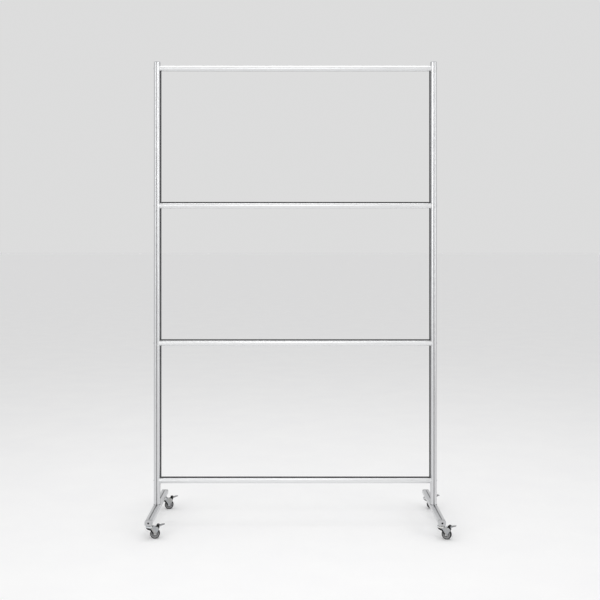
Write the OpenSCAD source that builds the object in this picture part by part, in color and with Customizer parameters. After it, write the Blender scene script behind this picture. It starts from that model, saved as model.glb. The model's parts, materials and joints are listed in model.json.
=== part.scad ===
// Rolling background support: two grooved round uprights joined by four crossbars,
// standing on two grooved feet with four braked swivel castors.
// Millimetres. X runs across the frame, Y from front to back, Z up from the floor.

/* [Frame] */
// Distance between the axes of the two uprights
upright_pitch = 1500; // [900:50:2400]
// Height of the lowest crossbar's axis
bar_low_z = 230; // [180:5:400]
// Distance from one crossbar's axis to the next
bar_pitch = 745; // [400:5:900]
// Upright left standing above the top crossbar's axis
top_margin = 32; // [24:1:80]
// Place of the frame's middle, which offsets the trailing castors in the footprint
middle_x = -25; // [-40:1:0]

/* [Tubes] */
// Diameter of the upright tubes
upright_d = 35; // [34:0.5:40]
// Diameter of the crossbars
bar_d = 30; // [28:0.5:32]
// Width of a groove's mouth
groove_mouth = 6; // [5:0.5:7]
// Depth of a groove's lips
groove_lip = 2; // [1.5:0.25:2.5]
// Width of a groove's pocket behind its lips
pocket_w = 9; // [8:0.5:10]
// Depth of a groove's pocket behind its lips
pocket_depth = 4; // [3:0.5:4.5]
// Thickness of the flat caps on the uprights
cap_t = 3; // [2:0.5:5]

/* [Edge seals] */
// How far a seal stands out of its groove
seal_proud = 6; // [3:0.5:8]
// Width of a seal
seal_w = 8; // [7:0.5:10]

/* [Feet] */
// Length of a foot with its two end caps
foot_length = 600; // [500:10:900]
// Width of the foot profile
foot_w = 38; // [38:1:45]
// Height of the foot profile
foot_h = 26; // [26:1:36]
// Corner radius of the foot profile
foot_corner = 7; // [4:0.5:9]
// Length of each end cap that shows
foot_cap_l = 25; // [22:1:35]
// Diameter of the accessory hole in the end of each cap
cap_hole_d = 8.5; // [6:0.5:10]

/* [Castors] */
// Height of the foot's underside above the floor
castor_h = 75; // [75:1:75]
// Diameter of the wheels
wheel_d = 50; // [46:1:50]
// Width of the tyres
tyre_w = 18; // [15:0.5:18]
// Distance from the swivel axis to the axle
trail = 29; // [27:0.5:30]
// Distance from the foot's end to the swivel axis
stem_inset = 39; // [32:1:45]
// Way each castor trails, in degrees from +X: front left, back left, front right, back right
headings = [2, 4, -26, 18];

/* [Hidden] */
$fn = 64;
clear = 0.02;          // gap between pieces that are fixed together
running = 0.05;        // radial gap of a pin in its bore
eps = 1;               // overshoot of a cutting shape

bar_names = ["bottom", "lower", "upper", "top"];
bay_names = ["lower", "middle", "upper"];
bar_z = [for (i = [0:3]) bar_low_z + i * bar_pitch];
upright_r = upright_d / 2;
bar_r = bar_d / 2;
foot_top = castor_h + foot_h;
foot_mid = castor_h + foot_h / 2;
upright_top = bar_z[3] + top_margin;
bar_reach = upright_pitch / 2;

// Inside the tubes
upright_core_d = 13;
bar_core_d = 10;
corner_hole_d = 5;
corner_hole_at = 12.2;
side_hole_d = 7;
side_hole_at = 10;

// Screw joint between a crossbar and an upright, measured out from the upright's axis
bolt_d = 6;
bolt_hole_d = 6.6;
bolt_seat = 9.5;
bolt_head_d = 10;
bolt_head_h = 6;
bolt_recess_d = 11;
plug_proud = 1;
insert_start = 19;
insert_l = 35;
bolt_reach = 47;

// Screw joint between an upright and its foot
base_bolt_d = 8;
base_hole_d = 8.4;
base_bolt_l = 42;
base_head_d = 13;
base_head_h = 8;
base_access_d = 18;
washer_d = 16;
washer_t = 1.6;
base_insert_l = 40;

// Inside a foot
cavity_w = 30;
cavity_h = 10;
cavity_corner = 2;
spigot_gap = 0.1;
spigot_l = 45;
cap_hole_l = 20;
stem_d = 10;
stem_hole_d = 10.4;

// Castor, measured from the swivel axis and from the floor
collar_af = 17;
collar_z = 71;
cup_z = 66.5;
cup_r = 17.5;
king_r = 4;
rivet_r = 7;
rivet_z = 56.2;
plate_z = 59;
plate_t = 2.5;
bowl_r = 20;
bowl_top = 66;
bowl_low = 57;
ball_r = 2.3;
ball_ring_r = 11.8;
ball_count = 14;
fork_gap = 20;
fork_t = 2.5;
fork_half = fork_gap / 2 + fork_t;
axle_r = 3;
axle_boss_r = 8.5;
axle_z = wheel_d / 2;
pin_r = 2;
pin_boss_r = 6;
pin_at = [40, 56];
hub_half = fork_gap / 2 - 0.3;
bush_r = 5;
core_r = 20;
shoulder_r = 4;
pedal_top = 74;
cam_half = fork_gap / 2 - 0.4;

CORNERS = [["front_left", -1, -1, headings[0]], ["back_left", -1, 1, headings[1]],
           ["front_right", 1, -1, headings[2]], ["back_right", 1, 1, headings[3]]];
SIDES = [["left", -1], ["right", 1]];
CASTOR_PARTS = ["castor_stem_", "castor_fork_", "castor_balls_", "castor_axle_", "wheel_bush_",
                "wheel_core_", "wheel_tyre_", "brake_cam_", "brake_lever_"];

function side_x(side) = middle_x + side * upright_pitch / 2;
function arc(centre, r, from, to, steps = 16) =
    [for (i = [0:steps]) let (a = from + (to - from) * i / steps) centre + r * [cos(a), sin(a)]];

// ---- shared shapes ----

module rounded_rect(w, h, r) {
    square([w - 2 * r, h], center = true);
    square([w, h - 2 * r], center = true);
    for (x = [-1, 1], y = [-1, 1]) translate([x * (w / 2 - r), y * (h / 2 - r)]) circle(r);
}

// A T-shaped groove that opens towards +X at the given distance
module groove(surface) {
    translate([surface - groove_lip - 0.5, -groove_mouth / 2])
        square([groove_lip + 0.5 + eps, groove_mouth]);
    translate([surface - groove_lip - pocket_depth, -pocket_w / 2])
        square([pocket_depth, pocket_w]);
}

module upright_profile() difference() {
    circle(upright_r);
    for (a = [0:90:270]) rotate(a) groove(upright_r);
    circle(d = upright_core_d);
    for (a = [45:90:315]) rotate(a) translate([corner_hole_at, 0]) circle(d = corner_hole_d);
}

module bar_profile() difference() {
    circle(bar_r);
    for (a = [90, 270]) rotate(a) groove(bar_r);
    circle(d = bar_core_d);
    for (x = [-1, 1]) translate([x * side_hole_at, 0]) circle(d = side_hole_d);
}

module foot_profile() difference() {
    rounded_rect(foot_w, foot_h, foot_corner);
    for (a = [90, 270]) rotate(a) groove(foot_h / 2);
    rounded_rect(cavity_w, cavity_h, cavity_corner);
}

// A seal's head outside a tube of radius r, and its root in the tube's groove
module seal_profile(r) {
    root_w = groove_mouth - 0.4;
    foot_t = pocket_depth - 0.6;
    difference() {
        translate([r - groove_lip, -seal_w / 2]) square([groove_lip + seal_proud, seal_w]);
        circle(r + clear);
        for (y = [-1, 1]) translate([r + seal_proud, y * seal_w / 2])
            rotate(45) square(2, center = true);
    }
    translate([r - groove_lip - 1, -root_w / 2]) square([groove_lip + 1.5, root_w]);
    translate([r - groove_lip - 0.3 - foot_t, -(pocket_w - 1) / 2]) square([foot_t, pocket_w - 1]);
}

// Stands a profile's extrusion along +X, with the profile's own Y upright
module along_x(length) rotate([90, 0, 90]) linear_extrude(length) children();

// ---- frame ----

module upright(side) color("silver") difference() {
    translate([side_x(side), 0, foot_top])
        linear_extrude(upright_top - foot_top) upright_profile();
    for (z = bar_z) translate([side_x(side), 0, z]) {
        rotate([0, 90, 0]) cylinder(d = bolt_hole_d, h = upright_d + 2 * eps, center = true);
        rotate([0, 90 * side, 0]) translate([0, 0, bolt_seat])
            cylinder(d = bolt_recess_d, h = upright_r);
    }
}

module crossbar(z) color("gainsboro") difference() {
    translate([middle_x - bar_reach, 0, z]) along_x(2 * bar_reach) bar_profile();
    for (s = SIDES) translate([side_x(s[1]), 0, z])
        cylinder(r = upright_r + running, h = bar_d + 2 * eps, center = true);
}

module foot(side) color("silver") difference() {
    translate([side_x(side), foot_length / 2 - foot_cap_l, foot_mid])
        rotate([90, 0, 0]) linear_extrude(foot_length - 2 * foot_cap_l) foot_profile();
    translate([side_x(side), 0, castor_h - eps])
        cylinder(d = base_hole_d, h = foot_h + 2 * eps);
    translate([side_x(side), 0, castor_h - eps])
        cylinder(d = base_access_d, h = (foot_h - cavity_h) / 2 + eps + 1);
    for (y = [-1, 1]) translate([side_x(side), y * (foot_length / 2 - stem_inset), castor_h - eps])
        cylinder(d = stem_hole_d, h = (foot_h - cavity_h) / 2 + eps + 1);
}

module foot_cap(side, end) color("gainsboro")
translate([side_x(side), end * foot_length / 2, foot_mid]) rotate([90 * end, 0, 0]) difference() {
    union() {
        linear_extrude(foot_cap_l) rounded_rect(foot_w, foot_h, foot_corner);
        linear_extrude(foot_cap_l + spigot_l)
            rounded_rect(cavity_w - 2 * spigot_gap, cavity_h - 2 * spigot_gap, cavity_corner);
    }
    translate([0, 0, -eps]) cylinder(d = cap_hole_d, h = cap_hole_l + eps);
    translate([0, 0, stem_inset]) rotate([90, 0, 0])
        cylinder(d = stem_d, h = foot_h, center = true);
}

module edge_seals(bay) color("#202022") {
    low = bar_z[bay] + bar_r + 0.3;
    high = bar_z[bay + 1] - bar_r - 0.3;
    sill = upright_pitch / 2 - upright_r - seal_proud - 0.5;
    for (s = SIDES) translate([side_x(s[1]), 0, low]) rotate(s[1] < 0 ? 0 : 180)
        linear_extrude(high - low) seal_profile(upright_r);
    translate([middle_x - sill, 0, bar_z[bay]])
        along_x(2 * sill) rotate(90) seal_profile(bar_r);
}

module upright_caps() color("dimgray")
for (s = SIDES) translate([side_x(s[1]), 0, upright_top]) {
    cylinder(r = upright_r, h = cap_t - 1);
    translate([0, 0, cap_t - 1]) cylinder(r1 = upright_r, r2 = upright_r - 1, h = 1);
    translate([0, 0, -15]) cylinder(d = upright_core_d - 0.2, h = 15.5);
}

module at_bar_ends() for (z = bar_z, s = SIDES)
    translate([side_x(s[1]), 0, z]) rotate([0, 90 * s[1], 0]) children();

module crossbar_inserts() color("darkgray") at_bar_ends()
translate([0, 0, -insert_start - insert_l]) difference() {
    cylinder(d = bar_core_d - 2 * clear, h = insert_l);
    translate([0, 0, -eps]) cylinder(d = bolt_d + 2 * clear, h = insert_l + 2 * eps);
}

module crossbar_bolts() color("gray") at_bar_ends() difference() {
    union() {
        translate([0, 0, bolt_seat]) cylinder(d = bolt_head_d, h = bolt_head_h);
        translate([0, 0, -bolt_reach]) cylinder(d = bolt_d, h = bolt_reach + bolt_seat + 0.5);
    }
    translate([0, 0, bolt_seat + 2.5]) cylinder(d = 5.77, h = bolt_head_h, $fn = 6);
}

module bolt_plugs() color("gray") at_bar_ends() {
    plug_z = bolt_seat + bolt_head_h + 0.1;
    face_z = upright_r + plug_proud;
    translate([0, 0, plug_z]) cylinder(d = bolt_recess_d - 0.1, h = face_z - 0.8 - plug_z);
    translate([0, 0, face_z - 0.8])
        cylinder(d1 = bolt_recess_d - 0.1, d2 = bolt_recess_d - 1.7, h = 0.8);
}

module base_inserts() color("darkgray") for (s = SIDES)
translate([side_x(s[1]), 0, foot_top]) difference() {
    cylinder(d = upright_core_d - 2 * clear, h = base_insert_l);
    translate([0, 0, -eps]) cylinder(d = base_bolt_d + 2 * clear, h = base_insert_l + 2 * eps);
}

module base_bolts() color("gray") for (s = SIDES) {
    seat = foot_mid + cavity_h / 2;
    translate([side_x(s[1]), 0, seat - washer_t]) difference() {
        cylinder(d = washer_d, h = washer_t);
        translate([0, 0, -eps]) cylinder(d = base_hole_d, h = washer_t + 2 * eps);
    }
    translate([side_x(s[1]), 0, seat - washer_t - base_head_h]) difference() {
        union() {
            cylinder(d = base_head_d, h = base_head_h);
            cylinder(d = base_bolt_d, h = base_head_h + base_bolt_l);
        }
        translate([0, 0, -eps]) cylinder(d = 6.93, h = 5 + eps, $fn = 6);
    }
}

// ---- castors, each drawn about its own swivel axis and trailing towards +X ----

module at_castor(c)
    translate([side_x(c[1]), c[2] * (foot_length / 2 - stem_inset), 0]) rotate(c[3]) children();

module at_axle() translate([trail, 0, axle_z]) rotate([90, 0, 0]) children();

module castor_stem() color("lightgray") {
    translate([0, 0, collar_z]) cylinder(d = collar_af / cos(30), h = castor_h - collar_z, $fn = 6);
    translate([0, 0, castor_h - 0.5])
        cylinder(r = stem_d / 2 - clear, h = foot_h / 2 + cavity_h / 2 + 0.4);
    translate([0, 0, rivet_z]) cylinder(r = king_r, h = collar_z + 0.5 - rivet_z);
    translate([0, 0, rivet_z]) cylinder(r = rivet_r, h = plate_z - 0.3 - rivet_z);
}

module castor_cups() color("lightgray") for (c = CORNERS) at_castor(c)
rotate_extrude() polygon([
    [king_r + clear, cup_z], [cup_r, cup_z], [cup_r, cup_z + 1.5], [cup_r - 3, collar_z - 0.5],
    [cup_r - 5, collar_z], [king_r + clear, collar_z]]);

module castor_balls() color("gray") for (i = [0:ball_count - 1])
rotate(i * 360 / ball_count)
    translate([ball_ring_r, 0, plate_z + plate_t + clear + ball_r]) sphere(ball_r);

// One side of the fork: from the bowl down to the axle boss, and back to the brake pin's boss
module fork_leg() {
    axle = [trail, axle_z];
    linear_extrude(fork_t) polygon(concat(
        [[-15, plate_z + plate_t], [-16.5, bowl_low], [-9, 48], [6, 43]],
        arc(axle, axle_boss_r, 230, 380),
        [[49.5, 46], [50.5, 53]],
        arc(pin_at, pin_boss_r, 380, 450),
        [[31, plate_z + plate_t]]));
}

module castor_fork() color("gainsboro") difference() {
    union() {
        rotate_extrude() polygon([
            [king_r + running, plate_z], [bowl_r - 3, plate_z], [bowl_r - 2.5, bowl_low],
            [bowl_r - 0.8, bowl_low], [bowl_r, bowl_low + 1.5], [bowl_r, bowl_top - 1],
            [bowl_r - 1, bowl_top], [bowl_r - 2.2, bowl_top],
            [bowl_r - 2.5, plate_z + plate_t], [king_r + running, plate_z + plate_t]]);
        for (y = [-fork_gap / 2, fork_half]) translate([0, y, 0]) rotate([90, 0, 0]) fork_leg();
        translate([12, -fork_half, plate_z]) cube([19, 2 * fork_half, plate_t]);
    }
    at_axle() cylinder(r = axle_r + clear, h = 2 * fork_half + 2 * eps, center = true);
    translate([pin_at[0], 0, pin_at[1]]) rotate([90, 0, 0])
        cylinder(r = pin_r + clear, h = 2 * fork_half + 2 * eps, center = true);
}

// Axle bolt, its nut and the brake's pivot pin
module castor_axle() color("gray") {
    nut_h = 5;
    at_axle() {
        translate([0, 0, fork_half]) cylinder(d = 11.55, h = 4, $fn = 6);
        translate([0, 0, -fork_half - nut_h - 1])
            cylinder(r = axle_r, h = 2 * fork_half + nut_h + 1.5);
        translate([0, 0, -fork_half - nut_h]) difference() {
            cylinder(d = 11.55, h = nut_h, $fn = 6);
            translate([0, 0, -eps]) cylinder(r = axle_r + clear, h = nut_h + 2 * eps);
        }
    }
    translate([pin_at[0], 0, pin_at[1]]) rotate([90, 0, 0]) {
        cylinder(r = pin_r, h = 2 * fork_half, center = true);
        for (z = [-1, 1]) translate([0, 0, z * (fork_half + 0.6)])
            cylinder(r = pin_r + 1.5, h = 1.2, center = true);
    }
}

module wheel_bush() color("silver") at_axle() difference() {
    cylinder(r = bush_r - clear, h = 2 * hub_half, center = true);
    cylinder(r = axle_r + running, h = 2 * hub_half + 2 * eps, center = true);
}

module wheel_core() color("dimgray") at_axle() rotate_extrude() {
    hub_r = 8.5;
    rim_t = 2.5;
    web_w = 5;
    translate([bush_r, -hub_half]) square([hub_r - bush_r, 2 * hub_half]);
    translate([hub_r - 0.5, -web_w / 2]) square([core_r - rim_t - hub_r + 1, web_w]);
    translate([core_r - rim_t, -tyre_w / 2 + 1]) square([rim_t, tyre_w - 2]);
}

module wheel_tyre() color("#303032") at_axle() rotate_extrude() difference() {
    shoulder_x = wheel_d / 2 - shoulder_r;
    shoulder_y = tyre_w / 2 - shoulder_r;
    union() {
        translate([core_r - 1, -tyre_w / 2]) square([shoulder_x - core_r + 1, tyre_w]);
        translate([core_r - 1, -shoulder_y]) square([wheel_d / 2 - core_r + 1, 2 * shoulder_y]);
        for (y = [-1, 1]) translate([shoulder_x, y * shoulder_y]) circle(shoulder_r);
    }
    translate([0, -tyre_w]) square([core_r + running, 2 * tyre_w]);
}

// Moulded brake cam between the fork's legs: its heel comes down on the tyre
module brake_cam() color("#202022") difference() {
    translate([0, cam_half, 0]) rotate([90, 0, 0]) linear_extrude(2 * cam_half) polygon(concat(
        [[35.5, 53.5]],
        arc([43, 66.5], 7, 180, 90, 6),
        [[48, 73.5], [52, 70.5], [52, 61], [49.5, 53], [49.5, 48.5], [47.5, 47.3], [42, 50.5]]));
    translate([pin_at[0], 0, pin_at[1]]) rotate([90, 0, 0])
        cylinder(r = pin_r + running, h = fork_gap + 2 * eps, center = true);
}

// Steel foot lever: a rising tread whose deep side skirts stand on the back of the cam
module brake_lever() color("darkgray") {
    skirt_in = 7.5;
    skirt_out = cam_half;
    tread_half = 12.5;
    root = 52.02;
    intersection() {
        translate([0, tread_half, 0]) rotate([90, 0, 0]) linear_extrude(2 * tread_half) polygon([
            [root, 68.5], [root, 70.5], [77, pedal_top], [78.5, 73], [78.5, 72]]);
        translate([0, 0, 60]) linear_extrude(20) {
            translate([67, 0]) rounded_rect(24, 2 * tread_half, 4);
            translate([root, -skirt_out]) square([10, 2 * skirt_out]);
        }
    }
    for (y = [-skirt_in, skirt_out]) translate([0, y, 0]) rotate([90, 0, 0])
        linear_extrude(skirt_out - skirt_in) polygon([
            [root, 61.5], [root, 69.5], [73, 72.5], [73, 71.2], [60, 65.5]]);
}

for (s = SIDES) {
    upright(s[1]);
    foot(s[1]);
}
for (i = [0:3])
    crossbar(bar_z[i]);
for (i = [0:2])
    edge_seals(i);
upright_caps();
crossbar_inserts();
crossbar_bolts();
bolt_plugs();
base_inserts();
base_bolts();
castor_cups();
for (c = CORNERS) {
    foot_cap(c[1], c[2]);
    at_castor(c) castor_stem();
    at_castor(c) castor_fork();
    at_castor(c) castor_balls();
    at_castor(c) castor_axle();
    at_castor(c) wheel_bush();
    at_castor(c) wheel_core();
    at_castor(c) wheel_tyre();
    at_castor(c) brake_cam();
    at_castor(c) brake_lever();
}
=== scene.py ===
import json
import math

import bmesh
import bpy
from mathutils import Matrix, Vector


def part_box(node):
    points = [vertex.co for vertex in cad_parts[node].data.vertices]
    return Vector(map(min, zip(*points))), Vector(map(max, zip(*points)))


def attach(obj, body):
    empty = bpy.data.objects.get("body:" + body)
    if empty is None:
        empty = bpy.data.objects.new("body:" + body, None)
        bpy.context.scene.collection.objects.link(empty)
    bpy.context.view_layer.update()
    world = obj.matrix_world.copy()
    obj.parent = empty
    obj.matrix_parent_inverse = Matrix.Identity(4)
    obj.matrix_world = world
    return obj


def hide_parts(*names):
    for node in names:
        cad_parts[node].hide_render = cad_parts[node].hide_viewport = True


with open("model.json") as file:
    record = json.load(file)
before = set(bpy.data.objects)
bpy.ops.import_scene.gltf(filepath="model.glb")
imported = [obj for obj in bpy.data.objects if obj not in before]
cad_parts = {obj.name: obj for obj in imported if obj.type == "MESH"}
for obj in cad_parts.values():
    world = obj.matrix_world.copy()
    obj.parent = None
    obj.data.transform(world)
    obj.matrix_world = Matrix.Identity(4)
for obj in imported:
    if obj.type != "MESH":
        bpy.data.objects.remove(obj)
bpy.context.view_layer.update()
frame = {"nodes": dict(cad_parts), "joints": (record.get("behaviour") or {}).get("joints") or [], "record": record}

MM = 0.001               # shapes are worked out in millimetres and scaled when they become meshes
NODES = frame["nodes"]
RECORD = frame["record"]
JOINTS = {j["name"]: j for j in frame["joints"]}
CORNERS = ("front_left", "back_left", "front_right", "back_right")
SIDES = ("left", "right")
BARS = ("bottom", "lower", "upper", "top")
BAYS = ("lower", "middle", "upper")


# ---------------------------------------------------------------- places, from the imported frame

def box_mm(node):
    lo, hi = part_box(node)
    return lo / MM, hi / MM


def middle(node):
    lo, hi = box_mm(node)
    return (lo + hi) / 2


UPRIGHT_X = {side: middle("upright_" + side).x for side in SIDES}
BAR_Z = {bar: middle("crossbar_" + bar).z for bar in BARS}
FOOT_LOW, FOOT_TOP = box_mm("foot_left")[0].z, box_mm("foot_left")[1].z
FOOT_END = box_mm("foot_left")[1].y
CAP_END = box_mm("foot_cap_back_left")[1].y
UPRIGHT_TOP = box_mm("upright_left")[1].z
CAP_TOP = box_mm("upright_caps")[1].z
MIDDLE_X = (UPRIGHT_X["left"] + UPRIGHT_X["right"]) / 2

UPRIGHT_R = 17.5
BAR_R = 15.0
GROOVE_MOUTH = 6.0
GROOVE_LIP = 2.0         # wall thickness beside a groove's mouth
POCKET_W = 9.0           # the wider part of a groove, behind its lips
POCKET_DEPTH = 4.0
LIP_SHOWS = 0.9          # depth below which the inside of a groove is painted darker: painted shade
SEAL_W = 8.0
SEAL_PROUD = 6.0         # how far a seal stands out of its tube
FOOT_W, FOOT_H, FOOT_CORNER = 38.0, FOOT_TOP - FOOT_LOW, 7.0
FOOT_MIDDLE_Z = (FOOT_LOW + FOOT_TOP) / 2
CAP_HOLE_R = 4.25
CAP_HOLE_DEPTH = 20.0
GAP = 0.05               # left between faces that would otherwise coincide


# ---------------------------------------------------------------- materials

class Nodes:
    """A material's node tree, with short calls for the nodes used here."""

    def __init__(self, name):
        self.material = bpy.data.materials.new(name)
        self.material.use_nodes = True
        self.tree = self.material.node_tree
        self.shader = self.tree.nodes["Principled BSDF"]
        self.coords = self.add("ShaderNodeTexCoord").outputs["Object"]

    def add(self, kind, **settings):
        node = self.tree.nodes.new(kind)
        for key, value in settings.items():
            setattr(node, key, value)
        return node

    def link(self, source, target):
        self.tree.links.new(source, target)

    def noise(self, scale, stretch=(1, 1, 1), detail=4.0, roughness=0.55):
        mapping = self.add("ShaderNodeMapping")
        mapping.inputs["Scale"].default_value = stretch
        self.link(self.coords, mapping.inputs["Vector"])
        noise = self.add("ShaderNodeTexNoise")
        noise.inputs["Scale"].default_value = scale
        noise.inputs["Detail"].default_value = detail
        noise.inputs["Roughness"].default_value = roughness
        self.link(mapping.outputs["Vector"], noise.inputs["Vector"])
        return noise.outputs["Fac"]

    def ramp(self, value, stops):
        ramp = self.add("ShaderNodeValToRGB")
        while len(ramp.color_ramp.elements) < len(stops):
            ramp.color_ramp.elements.new(0.5)
        for element, (place, colour) in zip(ramp.color_ramp.elements, stops):
            element.position = place
            element.color = (*colour, 1)
        self.link(value, ramp.inputs["Fac"])
        return ramp.outputs["Color"]

    def fit(self, value, low, high, from_low=0.3, from_high=0.7):
        fit = self.add("ShaderNodeMapRange")
        fit.inputs["From Min"].default_value = from_low
        fit.inputs["From Max"].default_value = from_high
        fit.inputs["To Min"].default_value = low
        fit.inputs["To Max"].default_value = high
        self.link(value, fit.inputs["Value"])
        return fit.outputs["Result"]

    def feed(self, value, socket):
        """Sets a socket to a number or a colour, or links another node's output to it."""
        if isinstance(value, (int, float)):
            socket.default_value = value
        elif isinstance(value, tuple):
            socket.default_value = (*value, 1)
        else:
            self.link(value, socket)

    def mix(self, factor, first, second, how="MIX"):
        node = self.add("ShaderNodeMix", data_type="RGBA", blend_type=how)
        fraction, colour_a, colour_b, colour_out = 0, 6, 7, 2     # the node's sockets for RGBA
        self.feed(factor, node.inputs[fraction])
        self.feed(first, node.inputs[colour_a])
        self.feed(second, node.inputs[colour_b])
        return node.outputs[colour_out]

    def maths(self, operation, first, second):
        node = self.add("ShaderNodeMath", operation=operation)
        self.feed(first, node.inputs[0])
        self.feed(second, node.inputs[1])
        return node.outputs[0]

    def base(self, colour):
        self.link(colour, self.shader.inputs["Base Color"])

    def rough(self, value):
        self.link(value, self.shader.inputs["Roughness"])

    def bump(self, height, distance, strength):
        bump = self.add("ShaderNodeBump")
        bump.inputs["Distance"].default_value = distance
        bump.inputs["Strength"].default_value = strength
        self.link(height, bump.inputs["Height"])
        self.link(bump.outputs["Normal"], self.shader.inputs["Normal"])

    def edge_wear(self):
        """1 on convex edges, 0 elsewhere."""
        geometry = self.add("ShaderNodeNewGeometry")
        return self.fit(geometry.outputs["Pointiness"], 0.0, 1.0, 0.53, 0.60)

    def finish(self, **constants):
        """Sets the shader's own sockets, whose names are given with _ for a space."""
        for key, value in constants.items():
            self.shader.inputs[key.replace("_", " ")].default_value = value
        return self.material


def along(axis):
    """A noise stretch that draws long lines along one axis."""
    return tuple(0.004 if name == axis else 1.0 for name in "XYZ")


def shade(tone, factor, lift=0.0):
    """The tone made lighter or darker, never above white."""
    return tuple(min(1.0, c * factor + lift) for c in tone)


def anodised(name, axis, tone, metallic=0.9):
    """Satin anodised extrusion: lengthwise die lines, faint handling marks, bright rubbed edges."""
    n = Nodes(name)
    lines = n.noise(260, along(axis), detail=3)
    broad = n.noise(60, along(axis), detail=2)
    marks = n.noise(9, detail=6, roughness=0.62)
    dark, bright = shade(tone, 0.88), shade(tone, 1.06)
    base = n.ramp(lines, [(0.35, dark), (0.65, bright)])
    base = n.mix(0.35, base, n.ramp(broad, [(0.38, dark), (0.62, bright)]))
    base = n.mix(n.fit(marks, 0.0, 0.22, 0.56, 0.74), base, shade(tone, 0.90))
    n.base(n.mix(n.edge_wear(), base, bright))
    n.rough(n.maths("ADD", n.fit(lines, 0.27, 0.40), n.fit(marks, -0.03, 0.08)))
    n.bump(n.maths("ADD", lines, n.maths("MULTIPLY", broad, 0.6)), 0.0001, 0.6)
    return n.finish(Metallic=metallic)


def zinc(name, tone, rough):
    """Plated steel: cloudy spangle, a trace of blue and straw passivation, rubbed edges."""
    n = Nodes(name)
    cloud = n.noise(160, detail=5)
    tint = n.noise(45, detail=2)
    pits = n.noise(1400, detail=2)
    base = n.ramp(cloud, [(0.36, shade(tone, 0.86)), (0.64, tone)])
    cool, warm = (0.90, 0.95, 1.0), (1.0, 0.975, 0.91)
    base = n.mix(0.5, base, n.ramp(tint, [(0.40, cool), (0.60, warm)]), "MULTIPLY")
    n.base(n.mix(n.edge_wear(), base, shade(tone, 1.12)))
    n.rough(n.fit(cloud, rough * 0.8, rough * 1.35))
    n.bump(n.maths("ADD", n.maths("MULTIPLY", pits, 0.4), cloud), 0.00006, 0.35)
    return n.finish(Metallic=1.0)


def moulded(name, tone, rough, dust=0.12, gloss=0.5):
    """Moulded plastic: fine spark-eroded grain, slight tone drift, pale scuffs on the edges."""
    n = Nodes(name)
    fine = n.noise(1800, detail=2)
    drift = n.noise(70, detail=5)
    base = n.ramp(drift, [(0.36, shade(tone, 0.80)), (0.66, shade(tone, 1.18))])
    scuffed = shade(tone, 1.9, lift=0.012)
    base = n.mix(n.maths("MULTIPLY", n.edge_wear(), 0.55), base, scuffed)
    dusty = n.fit(n.noise(24, detail=7, roughness=0.7), 0.0, dust, 0.52, 0.72)
    n.base(n.mix(dusty, base, (0.34, 0.33, 0.31)))
    n.rough(n.fit(drift, rough * 0.85, rough * 1.2))
    n.bump(n.maths("ADD", fine, n.maths("MULTIPLY", drift, 0.5)), 0.00008, 0.45)
    return n.finish(Specular_IOR_Level=gloss)


def rubber(name, tone, dust):
    """Vulcanised rubber: matt, mottled, with floor dust worked into it."""
    n = Nodes(name)
    fine = n.noise(900, detail=5)
    mottle = n.noise(110, detail=6, roughness=0.65)
    base = n.ramp(mottle, [(0.35, shade(tone, 0.75)), (0.68, shade(tone, 1.25))])
    dusty = n.fit(n.noise(55, detail=8, roughness=0.72), 0.0, dust, 0.50, 0.70)
    base = n.mix(dusty, base, (0.30, 0.29, 0.27))
    n.base(n.mix(n.maths("MULTIPLY", n.edge_wear(), 0.4), base, shade(tone, 1.9, lift=0.02)))
    n.rough(n.fit(mottle, 0.58, 0.82))
    n.bump(n.maths("ADD", fine, mottle), 0.00010, 0.5)
    return n.finish(Specular_IOR_Level=0.35)


TUBE_TONE = (0.63, 0.635, 0.645)
BAR_TONE = (0.75, 0.755, 0.76)

# The record's slots first, then finishes that single pieces have instead of their slot's, and the painted shade
# and painted highlight that some faces have instead.
MATERIALS = {
    "anodised_tube": anodised("anodised_upright", "Z", TUBE_TONE),
    "bright_tube": anodised("anodised_bar", "X", BAR_TONE),
    "cap_aluminium": anodised("satin_cap", "Z", (0.53, 0.535, 0.545)),
    "black_seal": rubber("seal_rubber", (0.022, 0.022, 0.024), dust=0.04),
    "grey_plastic": moulded("grey_moulding", (0.34, 0.35, 0.37), 0.46),
    "plain_steel": zinc("plain_steel", (0.52, 0.52, 0.53), 0.38),
    "bright_zinc": zinc("bright_zinc", (0.88, 0.89, 0.90), 0.16),
    "zinc_steel": zinc("pressed_zinc", (0.46, 0.465, 0.475), 0.28),
    "ball_steel": zinc("bearing_steel", (0.60, 0.60, 0.61), 0.14),
    "grey_nylon": moulded("grey_nylon", (0.30, 0.30, 0.305), 0.50),
    "grey_rubber": rubber("tyre_rubber", (0.024, 0.024, 0.025), dust=0.10),
    "black_plastic": moulded("black_moulding", (0.008, 0.008, 0.009), 0.46, dust=0.02, gloss=0.22),

    "foot": anodised("anodised_foot", "Y", TUBE_TONE),
    # painted shade: a darker copy of the anodised tone, for the insides of the grooves
    "groove": anodised("groove_painted_shade", "Z", (0.38, 0.38, 0.385), metallic=0.8),
    "lever_steel": zinc("lever_steel", (0.36, 0.365, 0.375), 0.30),
    # painted highlight: a brighter copy of the fork's zinc, for the faces round its bowl
    "bowl_painted_highlight": zinc("bowl_painted_highlight", (0.74, 0.745, 0.755), 0.22),
    "axle_steel": zinc("axle_steel", (0.50, 0.505, 0.515), 0.24),
    "race_steel": zinc("race_steel", (0.74, 0.745, 0.755), 0.16),
}

SLOT_OF = {s["node"]: s["material_slot"] for s in RECORD["subparts"]}
for cad_name, cad_object in NODES.items():
    cad_object.data.materials.clear()
    cad_object.data.materials.append(MATERIALS[SLOT_OF[cad_name]])


# ---------------------------------------------------------------- outlines, in millimetres

def arc(centre, radius, start, stop, steps):
    """Points on an arc, angles in degrees."""
    turn = [math.radians(start + (stop - start) * i / steps) for i in range(steps + 1)]
    return [(centre[0] + radius * math.cos(a), centre[1] + radius * math.sin(a)) for a in turn]


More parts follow.
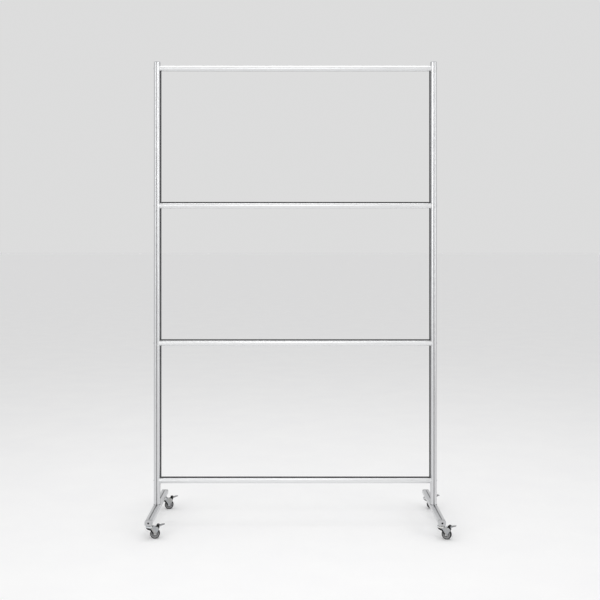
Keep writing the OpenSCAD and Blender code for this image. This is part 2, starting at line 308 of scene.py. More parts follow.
def rounded(points, radius, steps, keep=()):
    """The outline with each corner rounded, except those whose index is in keep."""
    nearly_straight = math.radians(172)
    most = 0.48                      # the part of an edge that one corner may use
    out = []
    count = len(points)
    for i, corner in enumerate(points):
        here = Vector(corner)
        before = Vector(points[i - 1]) - here
        after = Vector(points[(i + 1) % count]) - here
        if i in keep or before.angle(after) > nearly_straight:
            out.append(tuple(here))
            continue
        half = before.angle(after) / 2
        reach = min(radius / math.tan(half), before.length * most, after.length * most)
        inward = (before.normalized() + after.normalized()).normalized()
        centre = here + inward * (reach * math.tan(half) / math.sin(half))
        a0 = here + before.normalized() * reach - centre
        a1 = here + after.normalized() * reach - centre
        turn = a0.angle_signed(a1)
        for k in range(steps + 1):
            out.append(tuple(centre + Matrix.Rotation(-turn * k / steps, 2) @ a0))
    return out


def groove_points(surface, mouth_edge):
    """One T-groove that opens along +X, walked from its low side to its high side."""
    half, pocket = GROOVE_MOUTH / 2, POCKET_W / 2
    lip, floor = surface - GROOVE_LIP, surface - GROOVE_LIP - POCKET_DEPTH
    low = [(mouth_edge, -half), (lip, -half), (lip, -pocket), (floor, -pocket)]
    return low + [(x, -y) for x, y in reversed(low)]


def turned(points, degrees):
    """The outline turned about the origin."""
    cos, sin = math.cos(math.radians(degrees)), math.sin(math.radians(degrees))
    return [(x * cos - y * sin, x * sin + y * cos) for x, y in points]


def grooved_circle(radius, grooves, steps):
    """A round tube's outline with T-grooves at the given angles, their lips slightly rounded."""
    edge = math.sqrt(radius ** 2 - (GROOVE_MOUTH / 2) ** 2)
    clear = math.degrees(math.asin(GROOVE_MOUTH / 2 / radius)) + 2.2
    groove = rounded(groove_points(radius, edge), 0.45, 3)
    out = []
    for angle, following in zip(grooves, (*grooves[1:], grooves[0] + 360)):
        out += turned(groove, angle)
        out += arc((0, 0), radius, angle + clear, following - clear, steps)
    return out


def grooved_box(width, height, corner, steps):
    """The foot's outline: a rounded rectangle with a T-groove in its top and in its bottom."""
    half_w, half_h = width / 2, height / 2
    top = rounded(turned(groove_points(half_h, half_h), 90), 0.5, 3)
    right = arc((half_w - corner, -half_h + corner), corner, -90, 0, steps)
    right += arc((half_w - corner, half_h - corner), corner, 0, 90, steps)
    left = [(-x, -y) for x, y in right]
    return top + left + [(-x, -y) for x, y in top] + right


def rounded_box(width, height, corner, steps, side_steps):
    """A rounded rectangle, with its straight sides divided where a round hole has to meet them."""
    half_w, half_h = width / 2 - corner, height / 2 - corner
    centres = ((half_w, half_h), (-half_w, half_h), (-half_w, -half_h), (half_w, -half_h))
    out = []
    for i, centre in enumerate(centres):
        start, stop = 90 * i, 90 * i + 90
        out += arc(centre, corner, start, stop, steps)
        side_start = Vector(out[-1])
        side_stop = arc(centres[(i + 1) % 4], corner, stop, stop, 1)[0]
        out += [tuple(side_start.lerp(side_stop, k / side_steps)) for k in range(1, side_steps)]
    return out


def hexagon(across, limit):
    """A hexagon with its corners cut back to a circle of radius limit, as by a nut's chamfer."""
    samples = 48
    out = []
    for i in range(samples):
        a = 2 * math.pi * i / samples
        off = (a + math.pi / 6) % (math.pi / 3) - math.pi / 6
        r = min(across / 2 / math.cos(off), limit)
        out.append((r * math.cos(a), r * math.sin(a)))
    return out


# ---------------------------------------------------------------- solids, in millimetres

class Solid:
    """Collects closed shells, then makes one mesh object of them."""

    def __init__(self):
        self.points = []
        self.faces = []

    def rings(self, rings, place=Matrix.Identity(4), caps=True):
        """Skins a list of rings with the same number of points, and caps both ends."""
        start, count = len(self.points), len(rings[0])
        self.points += [place @ Vector(p) for ring in rings for p in ring]
        for k in range(len(rings) - 1):
            low, high = start + k * count, start + (k + 1) * count
            for i in range(count):
                j = (i + 1) % count
                self.faces.append((low + i, low + j, high + j, high + i))
        if caps:
            last = start + (len(rings) - 1) * count
            self.faces.append(tuple(start + i for i in reversed(range(count))))
            self.faces.append(tuple(last + i for i in range(count)))
        return self

    def lathe(self, profile, place=Matrix.Identity(4), segments=48, closed=False):
        """Turns a profile of (radius, height) about Z. An open one starts and ends on the axis."""
        turn = [2 * math.pi * i / segments for i in range(segments)]
        rings = [[(r * math.cos(a), r * math.sin(a), z) for a in turn]
                 for r, z in profile if closed or r > 0]
        if not closed:
            return self.rings(rings, place)
        start = len(self.points)
        self.rings(rings + rings[:1], place, caps=False)
        spare = len(self.points) - segments      # the last ring repeats the first
        self.points = self.points[:spare]
        wrap = {spare + i: start + i for i in range(segments)}
        self.faces = [tuple(wrap.get(v, v) for v in f) for f in self.faces]
        return self

    def plate(self, outline, low, high, place=Matrix.Identity(4)):
        """Extrudes an outline of (x, z) points from y = low to y = high."""
        rings = [[(x, y, z) for x, z in outline] for y in (low, high)]
        return self.rings(rings, place)

    def finish(self, name, slot, body, replaces=(), bevel=0.0, material=None, smooth=32,
               inside=None, lining="groove"):
        """Makes the piece. Its four-sided faces where inside(centre) is true get the lining material: painted
        shade in grooves, a painted highlight on the fork's bowl.
        """
        mesh = bpy.data.meshes.new(name)
        mesh.from_pydata([p * MM for p in self.points], [], self.faces)
        mesh.validate()
        piece = bpy.data.objects.new(name, mesh)
        bpy.context.scene.collection.objects.link(piece)
        fix_normals(mesh)
        mesh.shade_smooth()
        mesh.set_sharp_from_angle(angle=math.radians(smooth))
        mesh.materials.append(MATERIALS[material or slot])
        if inside:
            mesh.materials.append(MATERIALS[lining])
            for face in mesh.polygons:
                face.material_index = int(len(face.vertices) == 4 and inside(face.center / MM))
        if bevel:
            modifier = piece.modifiers.new("edges", "BEVEL")
            modifier.width = bevel * MM
            modifier.segments = 3
            modifier.limit_method = "ANGLE"
            modifier.angle_limit = math.radians(smooth)
            modifier.harden_normals = True
        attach(piece, body)
        if replaces:
            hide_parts(*replaces)


def fix_normals(mesh):
    """Turns every face outwards."""
    work = bmesh.new()
    work.from_mesh(mesh)
    bmesh.ops.recalc_face_normals(work, faces=work.faces)
    work.to_mesh(mesh)
    work.free()


def shift(x=0.0, y=0.0, z=0.0):
    return Matrix.Translation((x, y, z))


def spin(degrees, axis):
    return Matrix.Rotation(math.radians(degrees), 4, axis)


# ---------------------------------------------------------------- frame pieces

def uprights():
    outline = grooved_circle(UPRIGHT_R, (0, 90, 180, 270), 14)
    for side in SIDES:
        rings = [[(x, y, z) for x, y in outline] for z in (FOOT_TOP, UPRIGHT_TOP)]
        solid = Solid().rings(rings, shift(x=UPRIGHT_X[side]))
        # The insides of the grooves get painted shade.
        solid.finish(f"tube_upright_{side}", "anodised_tube", "frame", [f"upright_{side}"],
                     inside=lambda p:
                     math.hypot(p.x - UPRIGHT_X[side], p.y) < UPRIGHT_R - LIP_SHOWS)


def crossbars():
    """Each end is shaped to the round upright that it meets."""
    outline = grooved_circle(BAR_R, (90, 270), 26)
    for bar in BARS:
        ends = []
        for side, sign in (("left", 1), ("right", -1)):
            ends.append([(UPRIGHT_X[side] + sign * math.sqrt((UPRIGHT_R + GAP) ** 2 - y * y),
                          y, BAR_Z[bar] + z) for y, z in outline])
        solid = Solid().rings(ends)
        # The insides of the grooves get painted shade.
        solid.finish(f"tube_crossbar_{bar}", "bright_tube", "frame", [f"crossbar_{bar}"],
                     inside=lambda p: math.hypot(p.y, p.z - BAR_Z[bar]) < BAR_R - LIP_SHOWS)


def base_rings():
    """Thin rubber rings where the uprights stand on the feet."""
    for side in SIDES:
        inner = UPRIGHT_R + GAP
        section = [(inner, GAP), (inner + 1.0, GAP), (inner + 1.1, 0.5), (inner + 0.8, 0.9),
                   (inner, 1.1)]
        solid = Solid().lathe(section, shift(UPRIGHT_X[side], 0, FOOT_TOP), 72, closed=True)
        solid.finish(f"base_ring_{side}", "black_seal", "frame")


def feet():
    outline = grooved_box(FOOT_W, FOOT_H, FOOT_CORNER, 8)
    for side in SIDES:
        place = shift(UPRIGHT_X[side], 0, FOOT_MIDDLE_Z)
        solid = Solid().plate(outline, -FOOT_END, FOOT_END, place)
        # The insides of the grooves get painted shade.
        solid.finish(f"profile_foot_{side}", "anodised_tube", "frame", [f"foot_{side}"],
                     material="foot",
                     inside=lambda p: abs(p.z - FOOT_MIDDLE_Z) < FOOT_H / 2 - LIP_SHOWS
                     and abs(p.x - UPRIGHT_X[side]) < POCKET_W / 2 + 0.1)


HOLE_LIP_R = CAP_HOLE_R + 0.6         # the lip of the black sleeve that paints the hole's shade, which sits in a counterbore
COUNTERBORE_R, COUNTERBORE_DEPTH = HOLE_LIP_R + GAP, 0.7


def cap_rings():
    """An end block's skin, from its seam with the profile over the rounded edge into the hole."""
    edge, seam = 1.6, 0.5
    stations = [(FOOT_END + GAP, seam), (FOOT_END + seam, 0.0)]
    stations += [(CAP_END - edge + edge * math.sin(a), edge - edge * math.cos(a))
                 for a in (math.radians(15 * i) for i in range(7))]
    rings = []
    for y, inset in stations:
        outline = rounded_box(FOOT_W - 2 * inset, FOOT_H - 2 * inset, FOOT_CORNER - inset, 6, 9)
        rings.append([(x, y, z) for x, z in outline])
    around = [math.atan2(z, x) for x, _, z in rings[-1]]
    hole = ((HOLE_LIP_R + 0.6, 0.0), (HOLE_LIP_R + 0.2, 0.0), (COUNTERBORE_R, 0.15),
            (COUNTERBORE_R, COUNTERBORE_DEPTH), (CAP_HOLE_R, COUNTERBORE_DEPTH),
            (CAP_HOLE_R, CAP_HOLE_DEPTH))
    return rings + [[(r * math.cos(a), CAP_END - depth, r * math.sin(a)) for a in around]
                    for r, depth in hole]


def shade_sleeve_profile():
    """The black threaded sleeve in an end hole, whose black paints the shade inside the hole, as (radius, depth)
    from its closed end round.
    """
    outside, crest = CAP_HOLE_R - 0.02, CAP_HOLE_R - 0.35
    seat = COUNTERBORE_DEPTH - 0.02
    back, floor_depth = CAP_HOLE_DEPTH - 0.1, CAP_HOLE_DEPTH - 1.0
    pitch, threads, first = 1.6, 11, 1.2
    profile = [(0, back), (outside, back), (outside, seat), (HOLE_LIP_R, seat), (HOLE_LIP_R, 0.2),
               (HOLE_LIP_R - 0.15, GAP), (crest + 0.2, GAP), (crest, 0.3)]
    for turn in range(threads):
        at = first + pitch * turn
        profile += [(crest, at), (crest + 0.25, at + pitch / 2)]
    return profile + [(crest, floor_depth), (0, floor_depth)]


def foot_caps():
    """End blocks with a rounded edge and a fine seam to the profile, and black threaded sleeves in their holes
    that paint the shade inside.
    """
    for corner in CORNERS:
        end, side = corner.split("_")
        facing = Matrix.Diagonal((1, -1 if end == "front" else 1, 1, 1))
        place = shift(UPRIGHT_X[side], 0, FOOT_MIDDLE_Z) @ facing
        block = Solid().rings(cap_rings(), place)
        block.finish(f"end_block_{corner}", "cap_aluminium", "frame", [f"foot_cap_{corner}"])
        # The sleeve's black is painted shade inside the hole.
        profile = [(r, depth - CAP_END) for r, depth in shade_sleeve_profile()]
        hole_shade_sleeve = Solid().lathe(profile, place @ spin(90, "X"))
        hole_shade_sleeve.finish(f"thread_{corner}", "black_plastic", "frame")


def upright_caps():
    """Thin caps with a plug down into the tube and a shallow dish on top."""
    solid = Solid()
    top = CAP_TOP - UPRIGHT_TOP
    plug_r, plug_low, dish = 6.3, -12, 0.35
    profile = [(0, plug_low), (plug_r, plug_low), (plug_r, GAP), (UPRIGHT_R - 0.25, GAP),
               (UPRIGHT_R, 0.3)]
    profile += arc((UPRIGHT_R - 1.0, top - 1.0), 1.0, 0, 80, 5)
    profile += [(UPRIGHT_R - 3.5, top), (UPRIGHT_R - 4.2, top - dish), (0, top - dish)]
    for side in SIDES:
        solid.lathe(profile, shift(x=UPRIGHT_X[side], z=UPRIGHT_TOP), segments=72)
    solid.finish("tube_caps", "grey_plastic", "frame", ["upright_caps"])


def seal_outline(radius):
    """A seal in its groove: hooked root, two lips on the tube, and a fluted head."""
    half, root = SEAL_W / 2, GROOVE_MOUTH / 2 - 0.2
    sit = math.sqrt(radius ** 2 - half ** 2) + GAP
    face = radius + SEAL_PROUD
    hook = radius - GROOVE_LIP - 0.35
    up = [(hook - 2.6, 2.2), (hook, 3.9), (hook, root), (radius - 0.3, root), (sit, half),
          (radius + 1.2, half), (face - 2.0, half - 0.9), (face - 0.2, half - 1.5),
          (face - 0.9, half - 2.6), (face, half - 3.4)]
    return rounded([*up, *[(x, -y) for x, y in reversed(up)]], 0.35, 3)


def edge_seals():
    """Each bay has a seal down both uprights and one along the top of the bar below it."""
    short = 0.3                      # how far an upright's seal stops from the bars
    upright_outline, bar_outline = seal_outline(UPRIGHT_R), seal_outline(BAR_R)
    half_pitch = (UPRIGHT_X["right"] - UPRIGHT_X["left"]) / 2
    reach = half_pitch - UPRIGHT_R - SEAL_PROUD - 0.5
    for bay, below, above in zip(BAYS, BARS, BARS[1:]):
        low = BAR_Z[below] + BAR_R + short
        high = BAR_Z[above] - BAR_R - short
        solid = Solid()
        for side, turn in (("left", 0), ("right", 180)):
            rings = [[(x, y, z) for x, y in upright_outline] for z in (low, high)]
            solid.rings(rings, shift(x=UPRIGHT_X[side]) @ spin(turn, "Z"))
        rings = [[(x, y, z) for z, y in bar_outline] for x in (-reach, reach)]
        solid.rings(rings, shift(MIDDLE_X, 0, BAR_Z[below]))
        solid.finish(f"seals_{bay}_bay", "black_seal", "frame", [f"edge_seals_{bay}_bay"])


def bolt_plugs():
    """Dished plugs over the crossbar screws, in the outer grooves of the uprights."""
    solid = Solid()
    back, radius, face = 15.7, 5.4, UPRIGHT_R + 1.0
    profile = [(0, back), (radius, back), (radius, face - 0.9), (5.2, face - 0.45),
               (4.5, face - 0.15), (3.4, face - 0.02), (3.0, face - 0.3), (0, face - 0.3)]
    for bar in BARS:
        for side, sign in (("left", -1), ("right", 1)):
            place = shift(UPRIGHT_X[side], 0, BAR_Z[bar]) @ spin(90 * sign, "Y")
            solid.lathe(profile, place, segments=40)
    solid.finish("screw_plugs", "grey_plastic", "frame", ["bolt_plugs"])


# ---------------------------------------------------------------- castors

COLLAR_AF, COLLAR_LOW = 17.0, 71.0                     # the collar's hexagon, across its flats
CUP_LOW, CUP_R = 66.5, 17.5                            # upper race
KING_R, RIVET_R, RIVET_LOW = 4.0, 7.0, 56.2            # kingpin and its riveted head
KING_HOLE_R = KING_R + GAP
STUD_R, STUD_UP = 4.95, 17.5                           # threaded stud up into the end block
BOWL_R, BOWL_TOP, BOWL_LOW = 20.0, 66.0, 57.0          # the fork's bowl
PLATE_LOW, PLATE_T = 59.0, 2.5                         # the bowl's floor
PLATE_TOP = PLATE_LOW + PLATE_T
FORK_GAP, FORK_T = 20.0, 2.5                           # between the legs, and a leg's thickness
FORK_HALF = FORK_GAP / 2 + FORK_T
BOSS_FACE = FORK_HALF + 0.7                            # the axle's nuts bear on it
BOSS_R, PIN_BOSS_R, PIN_R = 8.5, 6.0, 2.0
AXLE_R, BUSH_R, HUB_R, CORE_R, WHEEL_R, TYRE_W = 3.0, 5.0, 8.5, 20.0, 25.0, 18.0
HUB_HALF = FORK_GAP / 2 - 0.3
CAM_HALF = FORK_GAP / 2 - 0.4


class Castor:
    """Where one castor stands, which way it trails, and its axle and brake pin.

    Its parts are shaped in its own frame: x trails from the swivel axis, z is up from the floor.
    """

    def __init__(self, corner):
        self.corner = corner
        self.swivel = Vector(JOINTS[f"swivel_{corner}"]["pos_m"]) / MM
        axle = Vector(JOINTS[f"roll_{corner}"]["pos_m"]) / MM
        pin = Vector(JOINTS[f"brake_{corner}"]["pos_m"]) / MM
        trail = axle - self.swivel
        heading = math.atan2(trail.y, trail.x)
        self.axle = (trail.xy.length, axle.z)
        self.pin = ((pin - self.swivel).xy.length, pin.z)
        self.place = shift(self.swivel.x, self.swivel.y) @ Matrix.Rotation(heading, 4, "Z")
        self.at_axle = self.across(self.axle)
        self.at_pin = self.across(self.pin)

    def across(self, point):
        """A place at a point of the castor's side view, with its Z across the castor."""
        return self.place @ shift(x=point[0], z=point[1]) @ spin(90, "X")

    def finish(self, solid, name, slot, body, replaces=(), **settings):
        """Finishes a piece of this castor, on the frame or on one of the castor's own bodies."""
        owner = body if body == "frame" else f"{body}_{self.corner}"
        solid.finish(f"{name}_{self.corner}", slot, owner, replaces, **settings)


def nut(solid, place, across, low, high, chamfer):
    """A hexagon with its corners chamfered top and bottom."""
    flat = across / 2
    corner = flat / math.cos(math.pi / 6)
    levels = ((low, flat - 0.05), (low + 0.01, flat - 0.02), (low + chamfer, corner),
              (high - chamfer, corner), (high - 0.01, flat - 0.02), (high, flat - 0.05))
    solid.rings([[(x, y, z) for x, y in hexagon(across, limit)] for z, limit in levels], place)


def stem(castor):
    """Collar nut, threaded stud up into the end block, kingpin and its riveted head."""
    solid = Solid()
    nut(solid, castor.place, COLLAR_AF, COLLAR_LOW, FOOT_LOW, 0.7)
    joined = 0.3                     # how far stud and kingpin run into the collar
    stud_low, stud_top = FOOT_LOW - joined, FOOT_LOW + STUD_UP
    stud = [(0, stud_low), (STUD_R, stud_low), (STUD_R, stud_top), (0, stud_top)]
    solid.lathe(stud, castor.place)
    kingpin = [(0, RIVET_LOW), (2.5, RIVET_LOW), (5.0, RIVET_LOW + 0.5), (6.5, RIVET_LOW + 1.4),
               (RIVET_R, PLATE_LOW - 0.4), (KING_R, PLATE_LOW - 0.3),
               (KING_R, COLLAR_LOW + joined), (0, COLLAR_LOW + joined)]
    solid.lathe(kingpin, castor.place)
    castor.finish(solid, "collar_and_stem", "bright_zinc", "frame",
                  [f"castor_stem_{castor.corner}"])


def cup(castor):
    """Pressed upper race: a shallow domed washer with a rolled rim."""
    top = COLLAR_LOW - GAP
    rim = 0.8
    profile = [(KING_HOLE_R, CUP_LOW + 1.0), (CUP_R - 2.2, CUP_LOW + 1.0), (CUP_R - 1.6, CUP_LOW)]
    profile += arc((CUP_R - rim, CUP_LOW + rim), rim, -90, 60, 5)
    profile += [(CUP_R - 2.0, CUP_LOW + 2.4), (CUP_R - 5.0, top - 0.6), (CUP_R - 7.0, top),
                (KING_HOLE_R, top)]
    solid = Solid().lathe(profile, castor.place, segments=64, closed=True)
    castor.finish(solid, "race_cup", "bright_zinc", "frame", ["castor_cups"], material="race_steel")


def leg_outline(castor):
    """A leg: down the raked front edge, round the axle boss and up to the pin boss."""
    front = [(-15.5, PLATE_TOP), (-16.5, BOWL_LOW + 0.5), (-9, 48), (6, 43)]
    points = rounded(front, 2.5, 4, keep=(0, 3))
    points += arc(castor.axle, BOSS_R, 230, 380, 20)
    points += [(48.4, 44.4), (49.5, 46.4), (50.4, 51.8), (50.1, 53.4)]
    points += arc(castor.pin, PIN_BOSS_R, 380, 450, 9)
    return points + [(31, PLATE_TOP)]


def fork(castor):
    """Pressed fork: a bowl that holds the balls, two raked legs with bosses, and a bridge."""
    solid = Solid()
    inner = BOWL_R - 2.5
    low_edge, top_edge = 1.4, 1.1
    bowl = [(KING_HOLE_R, PLATE_LOW), (inner - 1.5, PLATE_LOW), (inner - 0.3, PLATE_LOW - 0.6),
            (inner, BOWL_LOW)]
    bowl += arc((BOWL_R - low_edge, BOWL_LOW + low_edge), low_edge, -80, 0, 5)
    bowl += arc((BOWL_R - top_edge, BOWL_TOP - top_edge), top_edge, 0, 150, 7)
    bowl += [(inner, BOWL_TOP - 1.6), (inner, PLATE_TOP + 1.4), (inner - 1.4, PLATE_TOP),
             (KING_HOLE_R, PLATE_TOP)]
    solid.lathe(bowl, castor.place, segments=72, closed=True)
    outline = leg_outline(castor)
    boss = [(0, FORK_HALF - 0.5), (6.9, FORK_HALF - 0.5), (6.9, FORK_HALF + 0.25),
            (6.4, BOSS_FACE), (0, BOSS_FACE)]
    for side in (-1, 1):
        low, high = sorted((side * FORK_GAP / 2, side * FORK_HALF))
        solid.plate(outline, low, high, castor.place)
        solid.lathe(boss, castor.at_axle @ spin(90 - 90 * side, "X"), segments=40)
    bridge = [(12, PLATE_LOW), (31, PLATE_LOW), (31, PLATE_TOP), (12, PLATE_TOP)]
    bridge_half = FORK_HALF - 0.2
    solid.plate(bridge, -bridge_half, bridge_half, castor.place)
    # The fork's faces outside the bowl's inner part and above the bowl's bottom get a brighter steel than the
    # legs: a painted highlight.
    castor.finish(
        solid, "fork", "zinc_steel", "castor", [f"castor_fork_{castor.corner}"], bevel=0.35,
        inside=lambda p: (p - castor.swivel).xy.length > BOWL_R - 6 and p.z > BOWL_LOW - 0.5,
        lining="bowl_painted_highlight")


def axle(castor):
    """Axle bolt with its hexagon head, locking nut and the riveted brake pin."""
    solid = Solid()
    across, head_t, nut_t, tail = 10, 3.6, 4.6, 5.6
    nut(solid, castor.at_axle, across, BOSS_FACE, BOSS_FACE + head_t, 0.5)
    nut(solid, castor.at_axle, across, -BOSS_FACE - nut_t, -BOSS_FACE, 0.5)
    shank = [(0, -BOSS_FACE - tail), (2.4, -BOSS_FACE - tail), (AXLE_R, -BOSS_FACE - tail + 0.6),
             (AXLE_R, BOSS_FACE + 1), (0, BOSS_FACE + 1)]
    solid.lathe(shank, castor.at_axle)
    end = [(PIN_R, FORK_HALF), (3.5, FORK_HALF), (3.3, FORK_HALF + 0.5), (2.2, FORK_HALF + 1.1),
           (0, FORK_HALF + 1.2)]
    solid.lathe([(r, -z) for r, z in reversed(end)] + end, castor.at_pin)
    castor.finish(solid, "axle_and_pin", "bright_zinc", "castor", [f"castor_axle_{castor.corner}"],
                  material="axle_steel")


def mirrored(up):
    """A wheel's whole profile from the half on one side of its middle."""
    return up + [(r, -z) for r, z in reversed(up)]


def tyre(castor):
    """Rubber tyre: crowned tread, two fine grooves, round shoulders and a stepped side wall."""
    half, shoulder = TYRE_W / 2, 3.2
    groove_floor = WHEEL_R - 0.6
    up = [(CORE_R + 0.1, half - 1.4), (CORE_R + 0.4, half - 0.5), (CORE_R + 1.2, half - 0.25)]
    up += arc((WHEEL_R - shoulder, half - shoulder), shoulder, 90, 12, 8)
    up += [(WHEEL_R, 3.4), (WHEEL_R, 2.9), (groove_floor, 2.7), (groove_floor, 2.3),
           (WHEEL_R, 2.1)]
    solid = Solid().lathe(mirrored(up), castor.at_axle, segments=96, closed=True)
    castor.finish(solid, "tyre", "grey_rubber", "wheel", [f"wheel_tyre_{castor.corner}"],
                  smooth=40)


def core(castor):
    """Moulded wheel centre: hub, web, rim, and five ribs on each side, half a step apart."""
    rim_in, web = CORE_R - 2.6, 2.2
    rim_half = TYRE_W / 2 - 0.8
    up = [(BUSH_R, HUB_HALF), (7.0, HUB_HALF), (7.6, HUB_HALF - 0.5), (HUB_R, web + 0.8),
          (HUB_R + 0.8, web), (rim_in - 0.8, web), (rim_in, web + 0.8),
          (rim_in + 0.3, rim_half - 0.3), (rim_in + 0.6, rim_half), (CORE_R - 0.4, rim_half),
          (CORE_R, rim_half - 0.4)]
    solid = Solid().lathe(mirrored(up), castor.at_axle, segments=96, closed=True)
    ribs, rib_half = 5, 0.75
    rib_in, rib_out, rib_top = HUB_R - 1.2, rim_in + 0.4, rim_half - 1.6
    rib = [(rib_in, 0), (rib_out, 0), (rib_out, rib_top), (rib_in, rib_top + 0.8)]
    for i in range(ribs):
        for side, turn in ((-1, 0), (1, 180 / ribs)):
            outline = [(r, side * (web - 0.4 + z * 0.82)) for r, z in rib]
            place = castor.at_axle @ spin(360 * i / ribs + turn, "Z")
            solid.plate(outline, -rib_half, rib_half, place)
    castor.finish(solid, "wheel_centre", "grey_nylon", "wheel", [f"wheel_core_{castor.corner}"],
                  bevel=0.25)


def mitre(line, i):
    """Sideways at a point of a line, long enough to keep an offset parallel past a corner."""
    normals = []
    for first, second in ((i - 1, i), (i, i + 1)):
        if first >= 0 and second < len(line):
            ahead = Vector(line[second]) - Vector(line[first])
            normals.append(Vector((-ahead.y, ahead.x)).normalized())
    total = sum(normals, Vector((0, 0)))
    return total * len(normals) / total.length_squared


def dark_edge_strip(castor):
    """A thin black strip wrapped over the raked front edge of each leg, down to the axle boss."""
    solid = Solid()
    rake = [(-15.6, 56.2), (-9, 48.2), (6, 43.2)]
    boss = arc(castor.axle, BOSS_R - 0.1, 232, 310, 10)
    line, widths = rake + boss, (8.6, 8.6, 7.8) + (6.8,) * len(boss)
    thick, back = 0.7, -FORK_T - 0.1
    for side in (-1, 1):
        rings = []
        for i, (point, wide) in enumerate(zip(line, widths)):
            inward = mitre(line, i)
            section = [(wide, 0.0), (wide - 0.1, thick * 0.6), (wide - 0.8, thick), (0.7, thick),
                       (-0.1, 0.2), (-0.15, back), (0.3, back - 0.15),
                       (wide - 0.5, back - 0.15), (wide, back + 0.05)]
            ring = []
            for depth, out in section:
                at = Vector(point) + inward * depth
                ring.append((at.x, side * (FORK_HALF + out), at.y))
            rings.append(ring)
        solid.rings(rings, castor.place)
    castor.finish(solid, "fork_dark_edge_strip", "black_plastic", "castor")


def brake_cam(castor):
    """Black moulding between the legs: round nose, stepped back and a heel above the tyre."""
    outline = [(35.7, 53.7)] + arc((43, 66.5), 6.9, 180, 90, 8)
    outline += [(48, 73.4), (51.9, 70.4), (51.9, 61), (49.4, 53), (49.4, 48.6), (47.5, 47.4),
                (42, 50.6)]
    solid = Solid().plate(rounded(outline, 0.9, 3), -CAM_HALF, CAM_HALF, castor.place)
    castor.finish(solid, "cam_moulding", "black_plastic", "pedal",
                  [f"brake_cam_{castor.corner}"], bevel=0.45)


def brake_lever(castor):
    """Pressed foot lever: side skirts on the cam's back, and a rising tread with grip bars."""
    solid = Solid()
    skirt_in, skirt_out = 7.5, CAM_HALF
    root, tip, tread_half = 52.0, 77, 12.4
    root_z, tip_z = 70.5, 74.0
    skirt = [(root, 61.6), (root, 69.4), (73, 72.4), (73, 71.3), (60, 65.6)]
    for side in (-1, 1):
        low, high = sorted((side * skirt_in, side * skirt_out))
        solid.plate(rounded(skirt, 1.2, 3, keep=(0, 1)), low, high, castor.place)

    def tread_z(x):
        return root_z + (x - root) * (tip_z - root_z) / (tip - root)

    plan = [(root, -skirt_out), (56, -skirt_out), (57.5, -tread_half)]
    plan += arc((74.4, -8.4), 4, -90, 0, 6) + arc((74.4, 8.4), 4, 0, 90, 6)
    plan += [(57.5, tread_half), (56, skirt_out), (root, skirt_out)]
    middle_x, half_x, half_y = 65.2, 13.2, 12.5
    rings = []
    for drop, inset in ((2.0, 0.4), (1.6, 0.0), (1.0, 0.0), (0.75, 0.2), (0.6, 0.6)):
        shrink_x, shrink_y = 1 - inset / half_x, 1 - inset / half_y
        rings.append([(middle_x + (x - middle_x) * shrink_x, y * shrink_y, tread_z(x) - drop)
                      for x, y in plan])
    solid.rings(rings, castor.place)
    bars, first_bar, bar_step, bar_half = 4, 59.5, 4.4, 9.4
    for k in range(bars):
        x = first_bar + bar_step * k
        low, high = tread_z(x) - 0.7, tread_z(x) - 0.03
        bar = [(x - 0.95, low), (x + 0.95, low), (x + 0.5, high), (x - 0.5, high)]
        solid.plate(bar, -bar_half, bar_half, castor.place)
    castor.finish(solid, "foot_lever", "zinc_steel", "pedal", [f"brake_lever_{castor.corner}"],
                  bevel=0.2, material="lever_steel")


# ---------------------------------------------------------------- studio, in metres and watts

WORLD_STRENGTH = 0.72
FLOOR_TONES = (0.965, 0.965, 0.97), (0.985, 0.985, 0.985)
LIGHTS = (
    # name, place, aim, width and height, power, spread in degrees
    ("key", (-3.5, -5.0, 2.7), (0, 0, 1.3), (3.2, 4.0), 19, 80),
    ("fill", (4.3, -4.4, 2.5), (0, 0, 1.3), (3.6, 3.8), 17, 80),
    ("front", (0, -2.9, 2.75), (0, 0, 0.9), (0.7, 0.7), 8, 180),
    ("overhead", (0, 0.2, 5.2), (0, 0, 0), (3.5, 2.0), 33, 180),
)
CAMERA_Y, CAMERA_Z = -4.94, 1.51
LENS, SENSOR = 54.62, 36.0                             # in millimetres, as Blender has them
SHIFT_X, SHIFT_Y = 0.0078, -0.0925


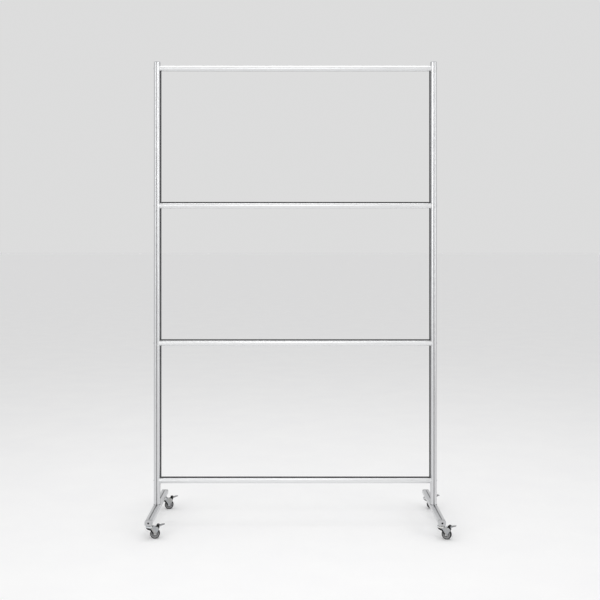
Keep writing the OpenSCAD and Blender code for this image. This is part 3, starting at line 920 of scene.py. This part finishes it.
def floor():
    """A plain pale floor, so large that its far edge lies near the horizon."""
    mesh = bpy.data.meshes.new("floor")
    half = 150.0
    corners = [(-half, -half, 0), (half, -half, 0), (half, half, 0), (-half, half, 0)]
    mesh.from_pydata(corners, [], [(0, 1, 2, 3)])
    plane = bpy.data.objects.new("floor", mesh)
    bpy.context.scene.collection.objects.link(plane)
    n = Nodes("floor_paper")
    n.base(n.ramp(n.noise(3, detail=3), [(0.3, FLOOR_TONES[0]), (0.7, FLOOR_TONES[1])]))
    mesh.materials.append(n.finish(Roughness=0.9, Specular_IOR_Level=0.1))


def light(name, place, aim, size, power, spread):
    data = bpy.data.lights.new(name, "AREA")
    data.shape = "RECTANGLE"
    data.size, data.size_y = size
    data.energy = power
    data.spread = math.radians(spread)
    lamp = bpy.data.objects.new(name, data)
    bpy.context.scene.collection.objects.link(lamp)
    lamp.location = place
    lamp.rotation_euler = (Vector(aim) - Vector(place)).to_track_quat("-Z", "Y").to_euler()


def studio():
    world = bpy.data.worlds.new("studio")
    world.use_nodes = True
    background = world.node_tree.nodes["Background"].inputs
    background["Color"].default_value = (1, 1, 1, 1)
    background["Strength"].default_value = WORLD_STRENGTH
    bpy.context.scene.world = world
    for settings in LIGHTS:
        light(*settings)
    bpy.context.scene.view_settings.view_transform = "Standard"


def camera():
    """Level camera with a little shift, so that the uprights stay parallel."""
    data = bpy.data.cameras.new("camera")
    data.sensor_width = SENSOR
    data.lens = LENS
    data.shift_x, data.shift_y = SHIFT_X, SHIFT_Y
    data.clip_end = 500
    shot = bpy.data.objects.new("camera", data)
    bpy.context.scene.collection.objects.link(shot)
    shot.location = (MIDDLE_X * MM, CAMERA_Y, CAMERA_Z)
    shot.rotation_euler = (math.pi / 2, 0, 0)
    bpy.context.scene.camera = shot


uprights()
crossbars()
base_rings()
feet()
foot_caps()
upright_caps()
edge_seals()
bolt_plugs()
for corner_name in CORNERS:
    this = Castor(corner_name)
    for make in (stem, cup, fork, dark_edge_strip, axle, tyre, core, brake_cam, brake_lever):
        make(this)
floor()
studio()
camera()
